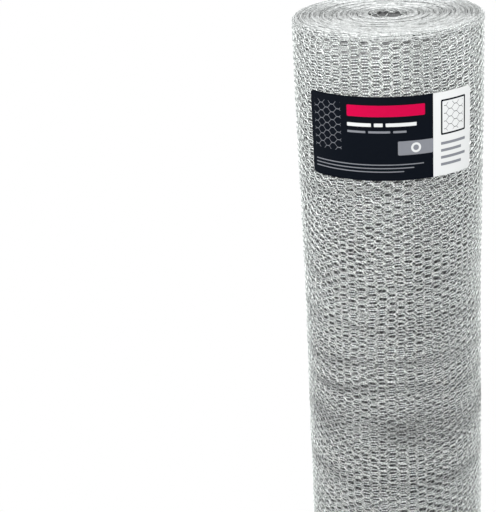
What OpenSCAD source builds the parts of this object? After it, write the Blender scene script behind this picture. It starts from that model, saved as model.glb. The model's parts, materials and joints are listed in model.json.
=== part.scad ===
// Roll of galvanised hexagonal wire netting, standing on its end, with its printed label.
// The wound netting is one turned body. It flares towards the two selvedges, is open along
// its axis, and its ends show the bundles of turns, with slack gaps between them.

/* [Netting] */
// Width of the netting, which is the height of the roll (mm)
netting_width = 1500; // [600:10:2000]
// Length of netting on the roll (m)
netting_length = 45; // [25:1:60]
// Room that one turn takes along the radius at mid height (mm)
turn_pitch = 1.13; // [0.9:0.01:1.6]
// Room that one turn takes along the radius at a selvedge, with its edge wires (mm)
selvedge_pitch = 1.23; // [0.9:0.01:1.8]

/* [Roll] */
// Diameter of the open bore (mm)
bore_d = 55; // [30:1:120]
// Height over which each end flares out to its selvedge (mm)
flare_h = 480; // [60:10:700]
// Rounding of the outer rim at each end (mm)
rim_round = 7; // [2:0.5:12]

/* [Ends] */
// Turns in one bundle that stands apart from the next on an end
bundle_turns = 6; // [3:1:12]
// Width of the slack gap between two bundles, at its mouth (mm)
gap_w = 1.8; // [0.6:0.1:2.4]
// Depth of the slack gap between two bundles (mm)
gap_depth = 10; // [3:0.5:20]
// How far the top end stands up from its rim to its middle (mm)
top_dome = 1; // [0:0.5:8]
// Farthest that a bundle has slipped back from the end (mm)
bundle_slip = 2.5; // [0:0.1:5]

/* [Label] */
// Length of the label round the roll (mm)
label_w = 253; // [80:1:270]
// Height of the label (mm)
label_h = 119; // [40:1:200]
// Thickness of the label (mm)
label_t = 0.5; // [0.2:0.1:1]
// Corner radius of the label (mm)
label_corner = 7; // [1:0.5:15]
// Distance from the top of the roll down to the label (mm)
label_drop = 87; // [40:1:300]
// Clearance between the label and the netting behind it (mm)
label_clearance = 0.3; // [0.1:0.1:1]

/* [Hidden] */
$fn = 128;

MM_PER_M = 1000;
DEG_PER_RAD = 180 / PI;
FLARE_STEPS = 14;
RIM_STEPS = 6;
LABEL_STEPS = 8;
// Every third bundle stands flush with the end, and the rest slip back by the golden angle
FLUSH_EVERY = 3;
SLIP_ANGLE = 137.5;
// Largest share of the outermost bundle that the rim's rounding may take
ROUND_SHARE = 0.7;

// Radius that the wound length fills, from the bore outwards, at a given room per turn
function wound_r(pitch) = sqrt(pow(bore_r, 2) + netting_length * MM_PER_M * pitch / PI);

bore_r = bore_d / 2;
mid_r = wound_r(turn_pitch);
end_r = wound_r(selvedge_pitch);

bundle_w = bundle_turns * selvedge_pitch;
bundles = max(1, floor((end_r - bore_r) / bundle_w));
last = bundles - 1;
// The outermost bundle also takes the turns that are left over
outer_land = end_r - bore_r - last * bundle_w - (last > 0 ? gap_w / 2 : 0);
shoulder = min(rim_round, outer_land * ROUND_SHARE);

top_rim_z = netting_width - top_dome - shoulder;
bottom_rim_z = shoulder;
half_wall = (top_rim_z - bottom_rim_z) / 2;
flare_reach = min(flare_h, half_wall);

// Radius of the outside at a height, widest at the two rims
function wall_r(z) =
    let (from_rim = max(0, min(top_rim_z - z, z - bottom_rim_z)))
    let (spread = from_rim >= flare_h ? 0 : 0.5 + 0.5 * cos(180 * from_rim / flare_h))
    mid_r + (end_r - mid_r) * spread;

// How far bundle i has slipped back from its end
function slip(i) =
    i == last || i % FLUSH_EVERY == 0 ? 0 : bundle_slip * abs(sin(SLIP_ANGLE * i));

// Height of bundle i on each end, and the gap outside it
function top_z(i) =
    netting_width - slip(i) - (last > 0 ? top_dome * pow(i / last, 2) : top_dome);
function bottom_z(i) = slip(i);
function gap_r(i) = bore_r + (i + 1) * bundle_w;
function inner_r(i) = i == 0 ? bore_r : gap_r(i - 1) + gap_w / 2;
function outer_r(i) = i == last ? end_r - shoulder : gap_r(i) - gap_w / 2;

// Top end from the bore to the rim, each bundle a flat land and each gap a narrow vee
top_end = [
    for (i = [0:last])
        for (p = i < last
            ? [[inner_r(i), top_z(i)],
               [outer_r(i), top_z(i)],
               [gap_r(i), min(top_z(i), top_z(i + 1)) - gap_depth]]
            : [[inner_r(i), top_z(i)], [outer_r(i), top_z(i)]])
            p
];

// Bottom end from the rim back to the bore
bottom_end = [
    for (i = [last:-1:0])
        for (p = i < last
            ? [[gap_r(i), max(bottom_z(i), bottom_z(i + 1)) + gap_depth],
               [outer_r(i), bottom_z(i)],
               [inner_r(i), bottom_z(i)]]
            : [[outer_r(i), bottom_z(i)], [inner_r(i), bottom_z(i)]])
            p
];

// Rounded rims and the flared wall between them, from the top down
top_rim = [
    for (k = [1:RIM_STEPS])
        let (a = 90 - 90 * k / RIM_STEPS)
        [end_r - shoulder + shoulder * cos(a), top_rim_z + shoulder * sin(a)]
];
upper_wall = [
    for (k = [1:FLARE_STEPS])
        let (z = top_rim_z - flare_reach * k / FLARE_STEPS)
        [wall_r(z), z]
];
lower_wall = [
    for (k = [flare_reach < half_wall ? FLARE_STEPS : FLARE_STEPS - 1:-1:1])
        let (z = bottom_rim_z + flare_reach * k / FLARE_STEPS)
        [wall_r(z), z]
];
bottom_rim = [
    for (k = [0:RIM_STEPS - 1])
        let (a = 90 * k / RIM_STEPS)
        [end_r - shoulder + shoulder * cos(a), bottom_rim_z - shoulder * sin(a)]
];

module netting_roll() {
    color([0.72, 0.74, 0.74])
        rotate_extrude()
            polygon(concat(top_end, top_rim, upper_wall, lower_wall, bottom_rim, bottom_end));
}

label_top_z = netting_width - label_drop;
label_bottom_z = label_top_z - label_h;
label_r = wall_r(label_top_z - label_h / 2) + label_clearance + label_t;
label_angle = label_w / label_r * DEG_PER_RAD;

// Section of the label: a strip that follows the wall at a fixed clearance
function label_edge(offset_r) = [
    for (k = [0:LABEL_STEPS])
        let (z = label_bottom_z + label_h * k / LABEL_STEPS)
        [wall_r(z) + offset_r, z]
];
function reversed(points) = [for (i = [len(points) - 1:-1:0]) points[i]];

// Waste outside one rounded corner, seen along the radius, at the origin
module corner_waste() {
    spare = 2;
    depth = 40;
    translate([label_r - depth / 2, 0, 0])
        rotate([90, 0, 90])
            linear_extrude(depth)
                difference() {
                    translate([-spare, -spare])
                        square(label_corner + spare);
                    translate([label_corner, label_corner])
                        circle(label_corner);
                }
}

// The label is centred on the front of the roll, which faces -Y
module label() {
    color([0.07, 0.09, 0.13])
        rotate([0, 0, -90 - label_angle / 2])
            difference() {
                rotate_extrude(angle = label_angle)
                    polygon(concat(label_edge(label_clearance),
                                   reversed(label_edge(label_clearance + label_t))));
                for (far_end = [0, 1])
                    rotate([0, 0, far_end * label_angle])
                        mirror([0, far_end, 0]) {
                            translate([0, 0, label_bottom_z])
                                corner_waste();
                            translate([0, 0, label_top_z])
                                mirror([0, 0, 1])
                                    corner_waste();
                        }
            }
}

netting_roll();
label();
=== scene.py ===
import json
import math

import bpy
from mathutils import Matrix, Vector


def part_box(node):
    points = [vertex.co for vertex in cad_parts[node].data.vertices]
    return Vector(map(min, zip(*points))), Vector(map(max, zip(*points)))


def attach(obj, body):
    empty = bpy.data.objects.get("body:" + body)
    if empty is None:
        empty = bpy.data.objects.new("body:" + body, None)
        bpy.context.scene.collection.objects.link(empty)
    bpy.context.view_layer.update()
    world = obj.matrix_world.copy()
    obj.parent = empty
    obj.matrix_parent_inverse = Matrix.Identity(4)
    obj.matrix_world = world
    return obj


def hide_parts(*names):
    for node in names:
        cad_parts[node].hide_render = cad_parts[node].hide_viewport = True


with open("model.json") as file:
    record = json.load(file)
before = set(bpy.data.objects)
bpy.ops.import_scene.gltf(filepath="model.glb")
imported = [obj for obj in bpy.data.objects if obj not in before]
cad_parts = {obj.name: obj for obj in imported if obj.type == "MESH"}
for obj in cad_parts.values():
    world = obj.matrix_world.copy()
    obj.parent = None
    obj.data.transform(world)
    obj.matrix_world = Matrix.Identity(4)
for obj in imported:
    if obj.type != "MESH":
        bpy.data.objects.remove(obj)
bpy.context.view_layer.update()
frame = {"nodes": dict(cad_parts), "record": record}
scene = bpy.context.scene
mm = 0.001

# The wound roll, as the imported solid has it
rollLow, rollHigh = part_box("netting_roll")
labelLow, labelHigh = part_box("label")
boreMount = next(mount for mount in frame["record"]["mounts"] if mount["name"] == "bore")
roll = {
    "height": rollHigh.z,
    "endRadius": (rollHigh.x - rollLow.x) / 2,
    "boreRadius": boreMount["dims"]["r_mm"] * mm,
    "length": 45.0,  # metres of netting
    "turnPitch": 1.13 * mm,  # room per turn at mid height
    "edgePitch": 1.23 * mm,  # room per turn at a selvedge
    "flareHeight": 480 * mm,
    "shoulder": 7 * mm,  # rounding of the outer rims
    "topDome": 1 * mm,
    "bundleTurns": 6,  # turns that bunch together on an end
}
roll["midRadius"] = math.sqrt(roll["boreRadius"] ** 2 + roll["length"] * roll["turnPitch"] / math.pi)
roll["topRim"] = roll["height"] - roll["topDome"] - roll["shoulder"]
roll["bottomRim"] = roll["shoulder"]


def wallRadius(z):
    fromRim = max(0.0, min(roll["topRim"] - z, z - roll["bottomRim"]))
    spread = 0.5 + 0.5 * math.cos(math.pi * min(1.0, fromRim / roll["flareHeight"]))
    return roll["midRadius"] + (roll["endRadius"] - roll["midRadius"]) * spread


# Node helpers: a Value is a socket that takes part in plain formulas
class Value:
    def __init__(self, tree, socket):
        self.tree = tree
        self.socket = socket

    def math(self, operation, *terms, clamp=False):
        node = self.tree.nodes.new("ShaderNodeMath")
        node.operation = operation
        node.use_clamp = clamp
        for slot, term in zip(node.inputs, (self, *terms)):
            plug(term, slot)
        return Value(self.tree, node.outputs[0])

    def clamped(self):
        return self.math("ADD", 0.0, clamp=True)

    def __add__(self, term):
        return self.math("ADD", term)

    def __sub__(self, term):
        return self.math("SUBTRACT", term)

    def __mul__(self, term):
        return self.math("MULTIPLY", term)

    def __truediv__(self, term):
        return self.math("DIVIDE", term)

    def __mod__(self, term):
        return self.math("FLOORED_MODULO", term)

    def __rsub__(self, term):
        return self * -1.0 + term

    def __rtruediv__(self, term):
        return self.math("POWER", -1.0) * term

    __radd__ = __add__
    __rmul__ = __mul__


def plug(term, slot):
    if isinstance(term, Value):
        term.tree.links.new(term.socket, slot)
    else:
        slot.default_value = term


def addNode(tree, kind, inputs=None, **settings):
    node = tree.nodes.new(kind)
    for name, setting in settings.items():
        setattr(node, name, setting)
    for name, term in (inputs or {}).items():
        plug(term, node.inputs[name])
    return node


def out(node, name=0):
    return Value(node.id_data, node.outputs[name])


def joinXyz(tree, x, y, z):
    return out(addNode(tree, "ShaderNodeCombineXYZ", {"X": x, "Y": y, "Z": z}))


def splitXyz(tree, vector):
    parts = addNode(tree, "ShaderNodeSeparateXYZ", {"Vector": vector})
    return [out(parts, axis) for axis in "XYZ"]


def addNoise(tree, place, scale, detail=1.0):
    return addNode(tree, "ShaderNodeTexNoise", {"Vector": place, "Scale": scale, "Detail": detail})


def newTree(name, kind, inputs, outputs):
    tree = bpy.data.node_groups.new(name, kind)
    for inOut, sockets in (("INPUT", inputs), ("OUTPUT", outputs)):
        for title, socketKind in sockets.items():
            tree.interface.new_socket(name=title, in_out=inOut, socket_type="NodeSocket" + socketKind)
    source = tree.nodes.new("NodeGroupInput")
    target = tree.nodes.new("NodeGroupOutput")
    return tree, {title: Value(tree, source.outputs[title]) for title in inputs}, target


# Geometry Nodes helpers
def slackNoise(tree, place, scale, seed):
    noise = addNode(tree, "ShaderNodeTexNoise",
                    {"Vector": place, "W": seed, "Scale": scale, "Detail": 1.0}, noise_dimensions="4D")
    return [part - 0.5 for part in splitXyz(tree, out(noise, "Color"))]


def strandRows(tree, strands, points):
    # rows of points, one curve for each strand, with the strand's and the point's numbers
    rows = addNode(tree, "GeometryNodeMeshLine", {"Count": strands})
    line = addNode(tree, "GeometryNodeCurvePrimitiveLine")
    strand = addNode(tree, "GeometryNodeResampleCurve", {"Curve": out(line), "Count": points})
    laid = addNode(tree, "GeometryNodeInstanceOnPoints", {"Points": out(rows), "Instance": out(strand)})
    curves = addNode(tree, "GeometryNodeRealizeInstances", {"Geometry": out(laid)})
    number = addNode(tree, "GeometryNodeCurveOfPoint")
    return out(curves), out(number, "Curve Index"), out(number, "Index in Curve")


def drawWires(tree, target, curves, place, flatPlace, wireRadius, material):
    # turns the placed strands into round wire, with a flat map for textures and the twist for its painted
    # lobe highlights
    sides = netting["sides"]
    moved = addNode(tree, "GeometryNodeSetPosition", {"Geometry": curves, "Position": place})
    kept = tree.nodes.new("GeometryNodeCaptureAttribute")
    kept.capture_items.new("VECTOR", "Flat place")
    plug(out(moved), kept.inputs["Geometry"])
    plug(flatPlace, kept.inputs["Flat place"])
    fuller = wireRadius * (math.pi / sides / math.sin(math.pi / sides))  # flat sides cut inside the round
    section = addNode(tree, "GeometryNodeCurvePrimitiveCircle", {"Resolution": sides, "Radius": fuller})
    tubes = addNode(tree, "GeometryNodeCurveToMesh",
                    {"Curve": out(kept), "Profile Curve": out(section), "Fill Caps": True})
    mapped = addNode(tree, "GeometryNodeStoreNamedAttribute",
                     {"Geometry": out(tubes), "Name": "OFBake", "Value": out(kept, "Flat place")},
                     data_type="FLOAT2", domain="CORNER")
    twist = splitXyz(tree, out(kept, "Flat place"))[2]
    marked = addNode(tree, "GeometryNodeStoreNamedAttribute",
                     {"Geometry": out(mapped), "Name": "Twist", "Value": twist},
                     data_type="FLOAT", domain="POINT")
    real = addNode(tree, "GeometryNodeRealizeInstances", {"Geometry": out(marked)})
    smooth = addNode(tree, "GeometryNodeSetShadeSmooth", {"Geometry": out(real)})
    painted = addNode(tree, "GeometryNodeSetMaterial", {"Geometry": out(smooth), "Material": material})
    plug(out(painted), target.inputs[0])


def growPiece(name, tree, inputs):
    # evaluates a tree once and keeps the result as a plain mesh
    piece = bpy.data.objects.new(name, bpy.data.meshes.new(name))
    scene.collection.objects.link(piece)
    modifier = piece.modifiers.new("nodes", "NODES")
    modifier.node_group = tree
    for item in tree.interface.items_tree:
        if item.in_out == "INPUT":
            modifier[item.identifier] = inputs[item.name]
    grown = bpy.data.meshes.new_from_object(piece.evaluated_get(bpy.context.evaluated_depsgraph_get()))
    piece.modifiers.clear()
    piece.data = grown
    grown.name = name
    return piece


def finishPiece(piece, slotName, *nodes):
    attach(piece, "root")
    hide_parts(*nodes)
    piece.data.calc_loop_triangles()
    print(piece.name, len(piece.data.loop_triangles), "triangles")


# Shared finishes
zincCoat = {
    "patchScale": 14.0,  # weathered patches
    "spangleScale": 700.0,
    "toneShares": {"patch": 0.25, "length": 0.45, "spangle": 0.45},  # what the tone is made up of
    "toneShift": -0.075,
    "endReach": 150 * mm,  # how far in from a selvedge its painted end light is felt
    "paintedLobeMean": 0.64,  # mean of a twist's painted lobe highlight and shade
    "dullRoughness": 0.63,
    "toneGloss": 0.2,  # how much smoother the palest zinc is
    "creaseShadeColour": (0.03, 0.033, 0.032, 1),
    "creaseScale": 6.0,  # how a band wanders up and down, and how far
    "creaseWander": 50 * mm,
    "creaseContrast": 3.2,  # a band shows more in some weathered patches than in others
    "creaseLoss": 0.6,
    "creaseShades": [  # painted shade of bands where the roll is dented a little all round: height, spread, darkening
        (0.31, 0.022, 0.18), (0.44, 0.014, 0.12), (0.62, 0.018, 0.15), (0.83, 0.010, 0.20),
        (0.914, 0.026, 0.36), (0.978, 0.008, 0.26), (1.017, 0.008, 0.22), (1.076, 0.008, 0.18),
        (1.137, 0.006, 0.14), (1.273, 0.008, 0.16),
    ],
}


def zincBloomAndShadeGroup():
    # cloudy tone and dullness of a galvanised coat: weathered patches, lengths of wire that differ,
    # spangle, the painted shade of the dented bands, and painted light towards the ends
    group, given, target = newTree("zincBloomAndShade", "ShaderNodeTree",
                                   {"Place": "Vector", "Length": "Float", "Painted end light": "Float"},
                                   {"Tone": "Float", "Roughness": "Float", "Shade": "Float"})
    patches = addNoise(group, given["Place"], zincCoat["patchScale"], 3.0)
    lengths = addNode(group, "ShaderNodeTexVoronoi",
                      {"Vector": given["Place"], "Scale": 1.0 / given["Length"]})
    spangle = addNode(group, "ShaderNodeTexVoronoi",
                      {"Vector": given["Place"], "Scale": zincCoat["spangleScale"]})
    patch = out(patches, "Fac")
    wire = splitXyz(group, out(lengths, "Color"))[0]
    grain = splitXyz(group, out(spangle, "Color"))[0]
    up = splitXyz(group, given["Place"])[2]
    fromEnd = up.math("MINIMUM", roll["height"] - up)
    nearEnd = (1.0 - fromEnd / zincCoat["endReach"]).clamped()
    shares = zincCoat["toneShares"]
    tone = patch * shares["patch"] + wire * shares["length"] + grain * shares["spangle"]
    # painted light: the tone is lifted near the ends, where more light reaches the turns
    tone = tone + nearEnd * given["Painted end light"] + zincCoat["toneShift"]
    wander = addNoise(group, given["Place"], zincCoat["creaseScale"])
    creaseUp = up + (out(wander, "Fac") - 0.5) * zincCoat["creaseWander"]
    shade = 0.0
    for height, spread, darkening in zincCoat["creaseShades"]:
        apart = (creaseUp - height) / spread
        shade = (apart * apart * -1.0).math("EXPONENT") * darkening + shade
    broken = (patch * zincCoat["creaseContrast"] - zincCoat["creaseLoss"]).math("MAXIMUM", 0.0)
    plug(shade * broken, target.inputs["Shade"])
    plug(tone.clamped(), target.inputs["Tone"])
    plug(zincCoat["dullRoughness"] - tone * zincCoat["toneGloss"], target.inputs["Roughness"])
    return group


def nettingLayerGroup():
    # mask of one layer of hexagonal netting seen flat, for what lies too deep for single wires
    group, given, target = newTree("nettingLayer", "ShaderNodeTree",
                                   {"Along": "Float", "Up": "Float", "Column": "Float", "Row": "Float",
                                    "Twist": "Float", "Width": "Float"}, {"Mask": "Float"})
    column = (given["Along"] / given["Column"] + 0.5).math("FLOOR")
    offTwist = (given["Along"] - column * given["Column"]).math("ABSOLUTE") - given["Twist"] * 0.5
    lane = given["Up"] / given["Row"] - column % 2.0
    fromLane = (lane - (lane * 0.5 + 0.5).math("FLOOR") * 2.0).math("ABSOLUTE") * given["Row"]
    slant = offTwist.math("MAXIMUM", 0.0) / (given["Column"] - given["Twist"]) * given["Row"]
    miss = (fromLane - slant).math("ABSOLUTE") / given["Width"]
    wholeTo, fadeSlope = 0.5, 1.2  # in widths of the wire
    plug((1.0 - (miss - wholeTo) * fadeSlope).clamped(), target.inputs["Mask"])
    return group


zincBloomAndShade = zincBloomAndShadeGroup()
nettingLayer = nettingLayerGroup()


def newMaterial(name):
    material = bpy.data.materials.new(name)
    material.use_nodes = True
    tree = material.node_tree
    shader = tree.nodes["Principled BSDF"]
    place = out(addNode(tree, "ShaderNodeTexCoord"), "Object")
    return material, tree, shader, place


def placeGroup(tree, group, inputs):
    return addNode(tree, "ShaderNodeGroup", inputs, node_tree=group)


def mixColour(tree, factor, first, second):
    node = addNode(tree, "ShaderNodeMix", {"Factor": factor}, data_type="RGBA")
    plug(first, node.inputs[6])  # the colour sockets share their names with others
    plug(second, node.inputs[7])
    return out(node, 2)


# dulling adds roughness, the lobes of a twist get painted highlight and shade, and towards the ends the
# turns get painted light: paler on the deeper turns, where more light reaches them, and a little darker on
# the outermost
twistedWire = {"length": 4 * mm, "metallic": 0.8, "dulling": 0.0, "paintedLobeLight": 1.5}
zincFinishes = {
    "galvanisedWire": {  # the outermost turn
        "dark": (0.34, 0.362, 0.356, 1), "light": (0.955, 0.985, 0.97, 1), "paintedEndLight": -0.1, **twistedWire,
    },
    # painted shade: the second turn is a little darker than the outermost, as it lies in that turn's shade
    "secondShadedWire": {
        "dark": (0.32, 0.341, 0.335, 1), "light": (0.92, 0.95, 0.935, 1), "paintedEndLight": 0.3, **twistedWire,
    },
    "shadedWire": {  # deeper turns and the bore, painted darker as shade from the turns outside them
        "dark": (0.26, 0.277, 0.272, 1), "light": (0.80, 0.827, 0.815, 1), "paintedEndLight": 0.6, **twistedWire,
    },
    # painted shade: the selvedges' zinc is painted darker than the side's, to hold down the brighter light
    # on the ends
    "shadedSelvedgeWire": {
        "dark": (0.29, 0.302, 0.30, 1), "light": (0.765, 0.782, 0.777, 1), "paintedEndLight": 0.0,
        "length": 3 * mm, "metallic": 0.35, "dulling": 0.22, "paintedLobeLight": 0.0,
    },
}


def zincMaterial(name):
    finish = zincFinishes[name]
    material, tree, shader, place = newMaterial(name)
    bloom = placeGroup(tree, zincBloomAndShade,
                       {"Place": place, "Length": finish["length"], "Painted end light": finish["paintedEndLight"]})
    twist = out(addNode(tree, "ShaderNodeAttribute", attribute_name="Twist"), "Fac")
    # painted highlight and shade: the lobes of a twist are lit and shaded through the colour
    lobe = (twist * math.pi).math("COSINE").math("ABSOLUTE")
    tone = out(bloom, "Tone") + (lobe - zincCoat["paintedLobeMean"]) * finish["paintedLobeLight"]
    colour = mixColour(tree, tone, finish["dark"], finish["light"])
    # painted shade: the dented bands darken the colour towards a near-black shade
    colour = mixColour(tree, out(bloom, "Shade"), colour, zincCoat["creaseShadeColour"])
    plug(colour, shader.inputs["Base Color"])
    plug(out(bloom, "Roughness") + finish["dulling"], shader.inputs["Roughness"])
    shader.inputs["Metallic"].default_value = finish["metallic"]
    return material


wireZinc, nearShadedZinc, deepShadedZinc, shadedEdgeZinc = [zincMaterial(name) for name in zincFinishes]


# Netting: hexagonal mesh, wound as a spiral from its free end at the back
netting = {
    "wire": 0.72 * mm,  # wire diameter
    "rowHeight": 6.23 * mm,  # between neighbouring wires, half a cell
    "twistLength": 8.6 * mm,
    "tilt": 0.06,  # rise of a twist along its length
    "halfTurns": 2.6,  # of a twist, as its painted lobe highlights show them
    "twistShift": 0.73,  # by which the twists of the next row start later
    "freeEnd": math.radians(168),  # where the sheet ends, from the front
    "inset": 0.5 * mm,  # outermost turn's middle, below the roll's wall
    "underLabel": 0.1 * mm,  # how far a wire may rise where the label lies on it
    "labelSpare": 3 * mm,  # how far past the label's edges it holds the wires down
    "labelSpareAngle": math.radians(2),
    "climb": 0.85 * mm,  # how much higher a turn's mesh lies than the one outside it
    "slide": 0.0027,  # how much more it does so towards the ends, by the distance
    "slideReach": 340 * mm,
    "columnsPerTurn": 59,  # odd, so that each turn's twists nest in the cells of the next
    "climbFrom": 40 * mm,  # how far in from an end the climb is full
    "edgeRows": 30 * mm,  # the rows this near an end make up the rounding of the rim
    "endSpare": 1.3,  # wire radii that a wire's middle keeps below an end
    "sides": 3,  # of a wire's section
    "slack": 1.0,  # how loose the sheet is
    # forms of the slack: the scale and seed of each, and how far it shifts the wires each way
    "forms": {"broad": (11.0, 0.0), "fine": (60.0, 7.0), "kink": (130.0, 9.0), "dent": (13.0, 3.0)},
    "aside": {"dent": 9 * mm, "broad": 22 * mm, "fine": 5 * mm, "kink": 5 * mm},
    "lift": {"dent": 7 * mm, "broad": 9 * mm, "fine": 4 * mm, "kink": 4.8 * mm},
    "bulge": {"dent": 2 * mm, "fine": 2.6 * mm, "kink": 1.8 * mm},
    "edgeSlack": 0.4,  # share of the slack that the selvedges leave
    "heldReach": 260 * mm,  # how far in from an end they hold the mesh straight
    "seed": 4.0,
}
netting["columnPitch"] = math.tau * (roll["midRadius"] - netting["inset"]) / netting["columnsPerTurn"]


def woundNettingTree():
    tree, given, target = newTree("woundNetting", "GeometryNodeTree", {
        "Wires": "Int", "First column": "Int", "Columns": "Int", "Twist points": "Int",
        "Column pitch": "Float", "Twist length": "Float", "Half turns": "Float", "Wire radius": "Float",
        "Mid radius": "Float", "End radius": "Float", "Mid pitch": "Float", "End pitch": "Float",
        "Free end": "Float", "Top rim": "Float", "Bottom rim": "Float", "Shoulder": "Float",
        "Flare height": "Float", "Climb": "Float", "Slide": "Float", "Slide reach": "Float",
        "Tilt": "Float", "Slack": "Float", "Edge slack": "Float", "Held reach": "Float", "Seed": "Float",
        "Label angle": "Float", "Label bottom": "Float", "Label top": "Float", "Under label": "Float",
        "Finish": "Material",
    }, {"Netting": "Geometry"})
    perColumn = given["Twist points"]
    curves, wire, point = strandRows(tree, given["Wires"], given["Columns"] * perColumn + 1)

    # each wire twists with the one above and the one below in turn
    column = (point / perColumn).math("FLOOR") + given["First column"]
    step = point % perColumn / (perColumn - 1)
    upper = (wire + column) % 2.0
    lane = (wire + 1 - upper) / given["Wires"]
    along = column * given["Column pitch"] + (step - 0.5) * given["Twist length"]

    # angle that the sheet has turned from its free end; the mesh gives a little, so the turns nest
    turned = along / given["Mid radius"]
    turns = turned / math.tau

    # edges follow the rounded rims, and the wall flares towards them
    inward = (given["Shoulder"] - given["End pitch"] * turns).math("MAXIMUM", 0.0)
    rise = (given["Shoulder"] * given["Shoulder"] - inward * inward).math("MAXIMUM", 0.0).math("SQRT")
    evenZ = given["Bottom rim"] + (given["Top rim"] - given["Bottom rim"]) * lane
    nearTop = (1.0 - (given["Top rim"] - evenZ) / netting["edgeRows"]).math("MAXIMUM", 0.0)
    nearBottom = (1.0 - (evenZ - given["Bottom rim"]) / netting["edgeRows"]).math("MAXIMUM", 0.0)
    flatZ = evenZ + rise * (nearTop - nearBottom)
    fromRim = (given["Top rim"] - flatZ).math("MINIMUM", flatZ - given["Bottom rim"]).math("MAXIMUM", 0.0)
    flared = (fromRim / given["Flare height"]).math("MINIMUM", 1.0)
    spread = (flared * math.pi).math("COSINE") * 0.5 + 0.5
    wall = given["Mid radius"] + (given["End radius"] - given["Mid radius"]) * spread
    pitch = given["Mid pitch"] + (given["End pitch"] - given["Mid pitch"]) * spread
    flatR = wall - pitch * turns

    # the two wires of a twist wind round each other once
    winding = (step - 0.5 * upper + 0.5) * math.tau
    coilZ = winding.math("COSINE") * given["Wire radius"]
    coilR = winding.math("SINE") * given["Wire radius"]

    # slack in the sheet's own plane, and dents that all turns share
    sheetPlace = joinXyz(tree, along, flatZ, 0.0)
    angle = turned + given["Free end"]
    dentPlace = joinXyz(tree, angle.math("SINE") * flatR, angle.math("COSINE") * flatR, flatZ)
    held = (fromRim / given["Held reach"]).math("MINIMUM", 1.0)
    slack = given["Slack"] * (held * (1.0 - given["Edge slack"]) + given["Edge slack"])

    def slackForm(name, place):
        scale, seed = netting["forms"][name]
        return slackNoise(tree, place, scale, given["Seed"] + seed)

    def slackShift(way, **forms):
        return sum(form * netting[way][name] for name, form in forms.items()) * slack

    broad, fine, kink = [slackForm(name, sheetPlace) for name in ("broad", "fine", "kink")]
    dent = slackForm("dent", dentPlace)
    aside = slackShift("aside", dent=dent[1], broad=broad[0], fine=fine[0], kink=kink[0])
    lift = slackShift("lift", dent=dent[2], broad=broad[1], fine=fine[1], kink=kink[1])
    bulge = slackShift("bulge", dent=dent[0], fine=fine[2], kink=kink[2])
    climb = given["Climb"] + (given["Slide reach"] - fromRim).math("MAXIMUM", 0.0) * given["Slide"]
    lift = lift + climb * turns * (fromRim / netting["climbFrom"]).math("MINIMUM", 1.0)
    lift = lift + (step - 0.5) * given["Twist length"] * given["Tilt"]

    radius = flatR + coilR + bulge
    bearing = angle + aside / flatR
    height = flatZ + coilZ + lift
    room = given["Wire radius"] * netting["endSpare"] - given["Shoulder"]
    height = height.math("MAXIMUM", given["Bottom rim"] + room).math("MINIMUM", given["Top rim"] - room)

    # the label holds the turns behind it flat
    fromFront = ((bearing + math.pi) % math.tau - math.pi).math("ABSOLUTE")
    behind = fromFront.math("LESS_THAN", given["Label angle"])
    behind = behind * height.math("GREATER_THAN", given["Label bottom"])
    behind = behind * height.math("LESS_THAN", given["Label top"])
    radius = radius - (radius - wall - given["Under label"]).math("MAXIMUM", 0.0) * behind

    place = joinXyz(tree, radius * bearing.math("SINE"), radius * bearing.math("COSINE") * -1.0, height)
    flatAlong = along / given["Column pitch"] - given["First column"] + 0.5
    twist = (column + step) * given["Half turns"] + (wire + 1 - upper) * netting["twistShift"]
    flatPlace = joinXyz(tree, flatAlong / (given["Columns"] + 1), lane, twist)
    drawWires(tree, target, curves, place, flatPlace, given["Wire radius"], given["Finish"])
    return tree


nettingTree = woundNettingTree()


def nettingPiece(name, firstColumn, columns, twistPoints=2, **changes):
    inputs = {
        "Wires": round((roll["topRim"] - roll["bottomRim"]) / netting["rowHeight"]),
        "First column": firstColumn, "Columns": columns, "Twist points": twistPoints,
        "Column pitch": netting["columnPitch"], "Twist length": netting["twistLength"],
        "Half turns": netting["halfTurns"], "Wire radius": netting["wire"] / 2,
        "Mid radius": roll["midRadius"] - netting["inset"],
        "End radius": roll["endRadius"] - netting["inset"],
        "Mid pitch": roll["turnPitch"], "End pitch": roll["edgePitch"],
        "Free end": netting["freeEnd"], "Top rim": roll["topRim"], "Bottom rim": roll["bottomRim"],
        "Shoulder": roll["shoulder"], "Flare height": roll["flareHeight"],
        "Climb": netting["climb"], "Slide": netting["slide"], "Slide reach": netting["slideReach"],
        "Tilt": netting["tilt"], "Slack": netting["slack"], "Edge slack": netting["edgeSlack"],
        "Held reach": netting["heldReach"], "Seed": netting["seed"],
        "Label angle": math.atan2(labelHigh.x, -labelHigh.y) + netting["labelSpareAngle"],
        "Label bottom": labelLow.z - netting["labelSpare"],
        "Label top": labelHigh.z + netting["labelSpare"],
        "Under label": netting["underLabel"], "Finish": wireZinc,
    }
    inputs.update(changes)
    finishPiece(growPiece(name, nettingTree, inputs), "galvanised_wire", "netting_roll")


perTurn = netting["columnsPerTurn"]
halfTurn = perTurn // 2
nettingPiece("outer_turn_a", 0, halfTurn, twistPoints=3)
nettingPiece("outer_turn_b", halfTurn, perTurn - halfTurn, twistPoints=3)
nettingPiece("second_turn", perTurn, perTurn, Finish=nearShadedZinc)
nettingPiece("third_turn", 2 * perTurn, perTurn, Finish=deepShadedZinc)
nettingPiece("fourth_turn", 3 * perTurn, perTurn, Finish=deepShadedZinc)

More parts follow.
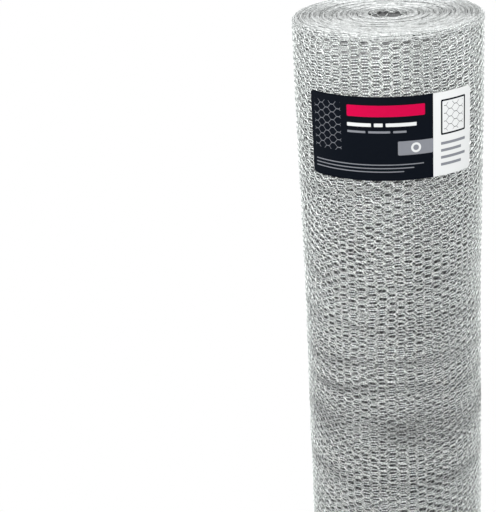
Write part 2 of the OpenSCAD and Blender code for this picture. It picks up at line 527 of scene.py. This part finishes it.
# The innermost turn lines the bore
boreLining = {
    "columns": 13,
    "inset": 2.0 * mm,  # from the bore's wall into the roll
    "endDrop": 1 * mm,  # from each end into the roll
    "slack": 0.35,
}
boreRadius = roll["boreRadius"] + boreLining["inset"]
nettingPiece("bore_turn", 0, boreLining["columns"], **{
    "Mid radius": boreRadius, "End radius": boreRadius, "End pitch": roll["turnPitch"], "Shoulder": 0.0,
    "Climb": 0.0, "Slide": 0.0, "Slack": boreLining["slack"],
    "Top rim": roll["height"] - boreLining["endDrop"], "Bottom rim": boreLining["endDrop"],
    "Finish": deepShadedZinc,
})
print("netting wound")


# Selvedges: the edge wires of all turns on an end, with the first row of mesh below them
selvedge = {
    "wire": 0.92 * mm,
    "strands": 2,  # an edge wire and the row below it
    "pointSpacing": 6.5 * mm,
    "boreSpare": 1.2 * mm,  # from the bore's wall to the innermost turn
    "bunching": 0.7,  # how much the turns of a bundle close up
    "bundleWander": 0.9,  # how unevenly the bundles run
    "slip": 2.5 * mm,  # how far a bundle may have slipped back
    "rowDrop": 4.5 * mm,
    "zigzag": 0.7,  # share of the drop that every other point makes
    "slack": 1.0,
    "forms": {"meander": (9.0, 0.0), "clump": (1.0, 2.0), "fine": (130.0, 5.0)},  # scale and seed
    "clumpTurn": 0.3,  # how far one turn lies from the next in the clumps
    "clumpSpread": 3.2,  # in turns
    "fineSpread": 1.2 * mm,
    "ruffle": {"meander": 5 * mm, "clump": 7 * mm, "fine": 4 * mm},  # how far the edges dip
    "topSeed": 11.0,
    "bottomSeed": 31.0,
}


def selvedgeTree():
    tree, given, target = newTree("selvedgeSpiral", "GeometryNodeTree", {
        "Strands": "Int", "Points": "Int", "Length": "Float", "Bore radius": "Float",
        "End radius": "Float", "Turn pitch": "Float", "Bundle turns": "Float", "Bunching": "Float",
        "Wire radius": "Float", "End height": "Float", "Up": "Float", "Dome": "Float", "Slip": "Float",
        "Shoulder": "Float", "Row drop": "Float", "Slack": "Float", "Seed": "Float", "Finish": "Material",
    }, {"Edges": "Geometry"})
    curves, strand, point = strandRows(tree, given["Strands"], given["Points"])
    share = point / (given["Points"] - 1)
    along = share * given["Length"]
    bore = given["Bore radius"]
    evenR = (bore * bore + given["Turn pitch"] * along / math.pi).math("SQRT")
    turns = (evenR - bore) / given["Turn pitch"]
    angle = turns * math.tau
    flatPoint = joinXyz(tree, evenR * angle.math("SINE"), evenR * angle.math("COSINE"), 0.0)
    ringUp = evenR / given["Turn pitch"] * selvedge["clumpTurn"]
    slackPlaces = {
        "meander": flatPoint, "clump": joinXyz(tree, angle.math("SINE"), angle.math("COSINE"), ringUp),
        "fine": joinXyz(tree, along, strand, 0.0),
    }
    forms = {}
    for name, (scale, seed) in selvedge["forms"].items():
        forms[name] = slackNoise(tree, slackPlaces[name], scale, given["Seed"] + seed)

    # turns close up in bundles, unevenly, and each bundle has slipped along the axis by its own amount
    phase = turns / given["Bundle turns"] + forms["meander"][0] * selvedge["bundleWander"]
    swing = given["Bundle turns"] * given["Turn pitch"] / math.tau * given["Bunching"]
    loose = forms["clump"][0] * given["Turn pitch"] * selvedge["clumpSpread"]
    loose = loose + forms["fine"][0] * selvedge["fineSpread"]
    radius = evenR + swing * (phase * math.tau).math("SINE") + loose * given["Slack"]
    radius = radius.math("MAXIMUM", bore)
    radius = radius.math("MINIMUM", given["End radius"] - given["Wire radius"])
    dice = addNode(tree, "ShaderNodeTexWhiteNoise", {"W": phase.math("FLOOR") + given["Seed"]},
                   noise_dimensions="1D")
    reach = (evenR - bore) / (given["End radius"] - bore)
    overRim = (radius - given["End radius"] + given["Shoulder"]).math("MAXIMUM", 0.0)
    rim = given["Shoulder"] - (given["Shoulder"] * given["Shoulder"] - overRim * overRim).math("SQRT")
    ruffle = sum(forms[name][1] * size for name, size in selvedge["ruffle"].items())
    ruffle = ruffle.math("ABSOLUTE") * given["Slack"]
    drop = given["Dome"] * reach * reach + given["Slip"] * out(dice, "Value") * (1.0 - reach) + rim
    row = strand * given["Row drop"] * (point % 2.0 * selvedge["zigzag"] + 1.0 - selvedge["zigzag"])
    spare = given["Wire radius"] * netting["endSpare"]
    height = given["End height"] - given["Up"] * (drop + ruffle + row + spare)
    place = joinXyz(tree, radius * angle.math("SINE"), radius * angle.math("COSINE") * -1.0, height)
    flatPlace = joinXyz(tree, turns % 1.0, evenR / given["End radius"], 0.0)
    drawWires(tree, target, curves, place, flatPlace, given["Wire radius"], given["Finish"])
    return tree


edgeTree = selvedgeTree()


def selvedgePiece(name, endHeight, up, dome, seed):
    piece = growPiece(name, edgeTree, {
        "Strands": selvedge["strands"], "Points": round(roll["length"] / selvedge["pointSpacing"]),
        "Length": roll["length"], "Bore radius": roll["boreRadius"] + selvedge["boreSpare"],
        "End radius": roll["endRadius"], "Turn pitch": roll["edgePitch"],
        "Bundle turns": float(roll["bundleTurns"]), "Bunching": selvedge["bunching"],
        "Wire radius": selvedge["wire"] / 2, "End height": endHeight, "Up": up, "Dome": dome,
        "Slip": selvedge["slip"], "Shoulder": roll["shoulder"],
        "Row drop": selvedge["rowDrop"], "Slack": selvedge["slack"], "Seed": seed, "Finish": shadedEdgeZinc,
    })
    finishPiece(piece, "galvanised_wire", "netting_roll")


selvedgePiece("top_selvedges", roll["height"], up=1.0, dome=roll["topDome"], seed=selvedge["topSeed"])
selvedgePiece("bottom_selvedges", 0.0, up=-1.0, dome=0.0, seed=selvedge["bottomSeed"])
print("selvedges wound")


# Core: the turns that lie deeper, as one turned body with grooved ends
core = {
    "depth": 6.2 * mm,  # below the roll's wall
    "endDrop": 9 * mm,  # below the selvedges
    "grooveDepth": 6 * mm,
    "grooveHalf": 1.4 * mm,  # half of a groove's width
    "boreGap": 2.6 * mm,  # behind the bore's lining
    "wallSteps": 48,
    "segments": 96,
    "layerShades": (0.26, 0.16, 0.09),  # each layer is painted darker than the one before it, painted shade of depth
    "layerShift": 7.1 * mm,
    "layerWire": 0.9 * mm,
    "swayScale": 11.0,  # how the layers sway out of line, and how far
    "swayAlong": 10 * mm,
    "swayUp": 7 * mm,
    "relief": 1.0 * mm,
    "reliefStrength": 0.6,
    "boreLight": 8 * mm,  # how deep the light of the open bore reaches
    "boreLift": 1.8,
    "endLight": 160 * mm,  # how far in from an end the deeper turns are painted paler, painted light
    "slitScale": 240.0,  # wires and gaps too fine to model
    "slitStretch": 2.4,  # how much longer they are round the roll than up it
    "slitContrast": 4.0,
    "slitLoss": 1.4,
    # painted shade: the gaps between the deeper turns are near black
    "gapShadeColour": (0.008, 0.0085, 0.009, 1),
    "palerColour": (0.22, 0.229, 0.226, 1),
    "palerShare": 0.5,
    "wireColour": (0.92, 0.94, 0.94, 1),
    "coatLength": 8 * mm,  # of wire that is equally dull
}


def coreProfile():
    # from the top of the bore out over the top end, down the wall and back along the bottom end
    inner = roll["boreRadius"] + core["boreGap"]
    bundle = roll["bundleTurns"] * roll["edgePitch"]
    outer = roll["endRadius"] - core["depth"]
    grooves = [roll["boreRadius"] + bundle * (i + 1) for i in range(int((outer - inner) / bundle))]
    topZ = roll["height"] - core["endDrop"] - roll["topDome"]
    bottomZ = core["endDrop"]

    def endFace(z, into):
        half = core["grooveHalf"]
        points = [(inner, z)]
        for groove in grooves:
            points += [(groove - half, z), (groove, z + into), (groove + half, z)]
        return points

    wall = []
    for k in range(core["wallSteps"] + 1):
        z = topZ + (bottomZ - topZ) * k / core["wallSteps"]
        wall.append((wallRadius(z) - core["depth"], z))
    return endFace(topZ, -core["grooveDepth"]) + wall + endFace(bottomZ, core["grooveDepth"])[::-1]


def turnedMesh(name, profile, segments):
    # closed ring of quads round the Z axis, its flat map laid by angle and by the profile's points
    verts = []
    for k in range(segments):
        angle = math.tau * k / segments
        verts += [(r * math.sin(angle), -r * math.cos(angle), z) for r, z in profile]
    n = len(profile)
    faces = []
    for k in range(segments):
        here = k * n
        there = (k + 1) % segments * n
        faces += [(here + i, here + (i + 1) % n, there + (i + 1) % n, there + i) for i in range(n)]
    mesh = bpy.data.meshes.new(name)
    mesh.from_pydata(verts, [], faces)
    flatMap = mesh.uv_layers.new(name="OFBake")
    for index in range(len(faces)):
        k, i = divmod(index, n)
        corners = ((k, i), (k, i + 1), (k + 1, i + 1), (k + 1, i))
        for corner, (turn, row) in enumerate(corners):
            flatMap.uv[index * 4 + corner].vector = (turn / segments, row / n)
    mesh.shade_smooth()
    return mesh


def coreMaterial():
    # deeper layers of netting, painted darker with depth and near black in the gaps as painted shade, and
    # painted paler where the light of an open end reaches them
    material, tree, shader, place = newMaterial("deepTurns")
    x, y, z = splitXyz(tree, place)
    along = x.math("ARCTAN2", y * -1.0) * (roll["midRadius"] - core["depth"])
    sway = splitXyz(tree, out(addNoise(tree, place, core["swayScale"]), "Color"))
    shade = None
    for layer, tone in enumerate(core["layerShades"]):
        mask = placeGroup(tree, nettingLayer, {
            "Along": along + sway[0] * core["swayAlong"] + layer * core["layerShift"],
            "Up": z + sway[1] * core["swayUp"], "Column": netting["columnPitch"],
            "Row": netting["rowHeight"], "Twist": netting["twistLength"], "Width": core["layerWire"]})
        lit = out(mask) * tone
        shade = lit if shade is None else shade.math("MAXIMUM", lit)
    fromBore = (x * x + y * y).math("SQRT") - roll["boreRadius"]
    lining = (1.0 - fromBore / core["boreLight"]).clamped()
    fromEnd = z.math("MINIMUM", roll["height"] - z)
    nearEnd = (1.0 - fromEnd / core["endLight"]).clamped()
    slitPlace = joinXyz(tree, along, z * core["slitStretch"], 0.0)
    slits = addNoise(tree, slitPlace, core["slitScale"], 2.0)
    tangle = (out(slits, "Fac") * core["slitContrast"] - core["slitLoss"]).clamped()
    paler = (lining * core["boreLift"]).math("MAXIMUM", nearEnd) * tangle
    # painted light near the open bore and the ends, over the painted shade of the gaps
    base = mixColour(tree, paler * core["palerShare"], core["gapShadeColour"], core["palerColour"])
    plug(mixColour(tree, shade, base, core["wireColour"]), shader.inputs["Base Color"])
    relief = addNode(tree, "ShaderNodeBump",
                     {"Height": shade, "Distance": core["relief"], "Strength": core["reliefStrength"]})
    plug(out(relief), shader.inputs["Normal"])
    bloom = placeGroup(tree, zincBloomAndShade, {"Place": place, "Length": core["coatLength"]})
    plug(out(bloom, "Roughness"), shader.inputs["Roughness"])
    return material


coreMesh = turnedMesh("wound_core", coreProfile()[::-1], core["segments"])
coreMesh.materials.append(coreMaterial())
coreBody = bpy.data.objects.new("wound_core", coreMesh)
scene.collection.objects.link(coreBody)
finishPiece(coreBody, "galvanised_wire", "netting_roll")
print("core turned")


# Label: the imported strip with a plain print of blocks, bars and a swatch of mesh
labelPrint = {
    "navy": (0.0016, 0.0027, 0.0050, 1),
    "crimson": (0.385, 0.0013, 0.039, 1),
    "grey": (0.155, 0.162, 0.18, 1),
    "white": (0.505, 0.515, 0.515, 1),
    "softness": 0.25 * mm,  # of a printed edge
    "panelFrom": 58 * mm,  # where the white panel begins, from the label's middle
    "mesh": {"Column": 9.5 * mm, "Row": 5.5 * mm, "Twist": 4.5 * mm, "Width": 0.45 * mm},
    # boxes are in mm: from and to along the label, bottom and top, corner
    "swatch": (-118, -72, 40, 109, 2),
    "title": (-62, 46, 91, 107, 1.5),
    "upperBars": {"spans": ((-62, -28), (-24, -12), (-8, 34)), "bottom": 77, "top": 82, "corner": 0.8},
    "lowerBars": {"spans": ((-62, -36), (-32, -2), (2, 20)), "bottom": 68, "top": 71, "corner": 0.5},
    "tab": (8, 58, 36, 56, 2),
    "ring": (26, 40, 39, 53, 7),
    "ringWidth": 3,
    "panelFrame": (70, 114, 58, 108, 2),
    "frameWidth": 2.5,
    "panelSwatch": (75, 109, 63, 103, 0.3),
    # rows of lines in mm, from the highest down
    "footLines": {"from": -118, "ends": (44, 30, 16), "bottom": 22, "thick": 1.4, "pitch": 5,
                  "corner": 0.3},
    "panelLines": {"from": 70, "ends": (114, 106, 114, 106), "bottom": 44, "thick": 4, "pitch": 10,
                   "corner": 0.6},
    "shine": 0.03,
    "roughness": 0.5,
    "fibreScale": 900.0,
    "fibreRoughness": 0.16,
    "fibreRelief": 0.15,  # beside a wire's
    "pressWidth": 2.2 * mm,  # of a wire that presses through
    "pressDepth": 0.12 * mm,
    "pressStrength": 0.5,
}


def printBlocks():
    # colour and box of each plain block
    yield "crimson", labelPrint["title"]
    for tint, bars in (("white", labelPrint["upperBars"]), ("grey", labelPrint["lowerBars"])):
        for start, end in bars["spans"]:
            yield tint, (start, end, bars["bottom"], bars["top"], bars["corner"])
    yield "grey", labelPrint["tab"]
    for lines in (labelPrint["footLines"], labelPrint["panelLines"]):
        for row, end in enumerate(lines["ends"]):
            bottom = lines["bottom"] - lines["pitch"] * row
            yield "grey", (lines["from"], end, bottom, bottom + lines["thick"], lines["corner"])


def printBlockGroup():
    # mask of a rounded block
    group, given, target = newTree("printBlock", "ShaderNodeTree", {
        "Along": "Float", "Up": "Float", "Middle along": "Float", "Middle up": "Float",
        "Half length": "Float", "Half height": "Float", "Corner": "Float"}, {"Mask": "Float"})

    def reach(axis, middle, half):
        apart = (given[axis] - given[middle]).math("ABSOLUTE")
        return (apart - given[half] + given["Corner"]).math("MAXIMUM", 0.0)

    aside = reach("Along", "Middle along", "Half length")
    above = reach("Up", "Middle up", "Half height")
    miss = (aside * aside + above * above).math("SQRT") - given["Corner"]
    plug((0.5 - miss / labelPrint["softness"]).clamped(), target.inputs["Mask"])
    return group


def labelMaterial():
    material, tree, shader, place = newMaterial("labelPrint")
    x, y, z = splitXyz(tree, place)
    along = x.math("ARCTAN2", y * -1.0) * wallRadius((labelLow.z + labelHigh.z) / 2)
    up = z - labelLow.z
    block = printBlockGroup()

    def mask(box):
        start, end, bottom, top, corner = [side * mm for side in box]
        return out(placeGroup(tree, block, {
            "Along": along, "Up": up, "Middle along": (start + end) / 2, "Middle up": (bottom + top) / 2,
            "Half length": (end - start) / 2, "Half height": (top - bottom) / 2, "Corner": corner}))

    def outline(box, width):
        start, end, bottom, top, corner = box
        inside = (start + width, end - width, bottom + width, top - width, max(corner - width, 1))
        return mask(box) - mask(inside)

    onPanel = along.math("GREATER_THAN", labelPrint["panelFrom"])
    colour = mixColour(tree, onPanel, labelPrint["navy"], labelPrint["white"])
    mesh = out(placeGroup(tree, nettingLayer, {"Along": along, "Up": up, **labelPrint["mesh"]}))
    colour = mixColour(tree, mesh * mask(labelPrint["swatch"]), colour, labelPrint["grey"])
    for tint, box in printBlocks():
        colour = mixColour(tree, mask(box), colour, labelPrint[tint])
    ring = outline(labelPrint["ring"], labelPrint["ringWidth"])
    colour = mixColour(tree, ring, colour, labelPrint["white"])
    panelPrint = outline(labelPrint["panelFrame"], labelPrint["frameWidth"])
    panelPrint = panelPrint.math("MAXIMUM", mesh * mask(labelPrint["panelSwatch"]))
    colour = mixColour(tree, panelPrint, colour, labelPrint["navy"])
    plug(colour, shader.inputs["Base Color"])
    shader.inputs["Specular IOR Level"].default_value = labelPrint["shine"]

    # coated card: faint fibre in the gloss, and the wires behind it pressing through
    fibre = out(addNoise(tree, place, labelPrint["fibreScale"], 2.0), "Fac")
    plug(fibre * labelPrint["fibreRoughness"] + labelPrint["roughness"], shader.inputs["Roughness"])
    behind = placeGroup(tree, nettingLayer, {
        "Along": along, "Up": z, "Column": netting["columnPitch"], "Row": netting["rowHeight"],
        "Twist": netting["twistLength"], "Width": labelPrint["pressWidth"]})
    press = addNode(tree, "ShaderNodeBump", {
        "Height": out(behind) + fibre * labelPrint["fibreRelief"],
        "Distance": labelPrint["pressDepth"], "Strength": labelPrint["pressStrength"]})
    plug(out(press), shader.inputs["Normal"])
    return material


labelStrip = frame["nodes"]["label"]
labelStrip.data.materials.clear()
labelStrip.data.materials.append(labelMaterial())
print("label printed")


# Studio: pale round floor that fades out, white surround, soft lamps
studio = {
    "floorRadius": 1.1,
    "floorRings": 12,
    "floorSegments": 96,
    "floorFade": 1.8,  # how steeply the floor clears towards its edge
    "floorColour": (0.86, 0.86, 0.86, 1),
    "floorRoughness": 0.9,
    "worldLight": 0.2,
    "lamps": [  # name, watts, side length, place
        ("left", 59.0, 1.0, (-2.2, -0.5, 2.3)),
        ("right", 61.0, 1.0, (2.2, -0.5, 2.3)),
        ("front", 58.0, 0.5, (-0.4, -2.6, 2.5)),
        ("upper", 8.0, 0.9, (-0.15, -1.1, 1.7)),
        ("top", 5.0, 1.2, (0.1, 0.5, 3.2)),
        ("backLeft", 24.0, 1.3, (-0.7, 2.4, 1.1)),
        ("backRight", 24.0, 1.3, (0.7, 2.4, 1.1)),
    ],
    "lampAim": (0, 0, 1.45),
}


def floorDisc():
    rings, segments = studio["floorRings"], studio["floorSegments"]
    verts = [(0, 0, 0)]
    for ring in range(1, rings + 1):
        r = studio["floorRadius"] * ring / rings
        verts += [(r * math.cos(math.tau * k / segments), r * math.sin(math.tau * k / segments), 0)
                  for k in range(segments)]
    faces = [(0, 1 + k, 1 + (k + 1) % segments) for k in range(segments)]
    for ring in range(1, rings):
        here = 1 + (ring - 1) * segments
        there = here + segments
        for k in range(segments):
            after = (k + 1) % segments
            faces.append((here + k, there + k, there + after, here + after))
    mesh = bpy.data.meshes.new("floor")
    mesh.from_pydata(verts, [], faces)
    material, tree, shader, place = newMaterial("paleFloor")
    shader.inputs["Base Color"].default_value = studio["floorColour"]
    shader.inputs["Roughness"].default_value = studio["floorRoughness"]
    clear = addNode(tree, "ShaderNodeBsdfTransparent")
    x, y = splitXyz(tree, place)[:2]
    reach = (x * x + y * y).math("SQRT") / studio["floorRadius"]
    fade = ((reach - 1.0) * studio["floorFade"] + 1.0).clamped()
    blend = addNode(tree, "ShaderNodeMixShader", {"Fac": fade})
    tree.links.new(shader.outputs[0], blend.inputs[1])
    tree.links.new(clear.outputs[0], blend.inputs[2])
    tree.links.new(blend.outputs[0], tree.nodes["Material Output"].inputs["Surface"])
    mesh.materials.append(material)
    floor = bpy.data.objects.new("floor", mesh)
    scene.collection.objects.link(floor)


def whiteSurround():
    world = bpy.data.worlds.new("studio")
    scene.world = world
    world.use_nodes = True
    tree = world.node_tree
    background = tree.nodes["Background"]
    background.inputs["Color"].default_value = (1, 1, 1, 1)
    path = addNode(tree, "ShaderNodeLightPath")
    seen = out(path, "Is Camera Ray").math("MAXIMUM", out(path, "Is Glossy Ray"))
    seen = seen.math("MAXIMUM", out(path, "Is Transmission Ray"))
    plug(seen * (1 - studio["worldLight"]) + studio["worldLight"], background.inputs["Strength"])


def softLamp(name, power, size, place):
    lamp = bpy.data.lights.new(name, "AREA")
    lamp.energy = power
    lamp.size = size
    holder = bpy.data.objects.new(name, lamp)
    holder.location = place
    holder.rotation_euler = (Vector(studio["lampAim"]) - Vector(place)).to_track_quat("-Z", "Y").to_euler()
    scene.collection.objects.link(holder)


floorDisc()
whiteSurround()
for lamp in studio["lamps"]:
    softLamp(*lamp)

# Camera at the photograph's viewpoint, for a frame 496 wide and 512 high
photoView = {
    "place": (-0.0423, -2.4219, 2.0310),
    "down": math.radians(20.146),
    "aside": math.radians(-4.036),
    "roll": math.radians(-2.858),
    "focalPixels": 1746.0,
    "framePixels": 512,
    "sensor": 36.0,
}


def photoCamera():
    data = bpy.data.cameras.new("photoView")
    data.sensor_width = photoView["sensor"]
    data.lens = photoView["focalPixels"] / photoView["framePixels"] * data.sensor_width
    camera = bpy.data.objects.new("photoView", data)
    down, aside, turn = photoView["down"], photoView["aside"], photoView["roll"]
    ahead = Vector((math.sin(aside) * math.cos(down), math.cos(aside) * math.cos(down), -math.sin(down)))
    level = ahead.cross(Vector((0, 0, 1))).normalized()
    upright = level.cross(ahead)
    right = level * math.cos(turn) + upright * math.sin(turn)
    up = upright * math.cos(turn) - level * math.sin(turn)
    facing = Matrix((right, up, -ahead)).transposed().to_4x4()
    camera.matrix_world = Matrix.Translation(photoView["place"]) @ facing
    scene.collection.objects.link(camera)
    scene.camera = camera


photoCamera()
scene.view_settings.view_transform = "Standard"
print("studio set")
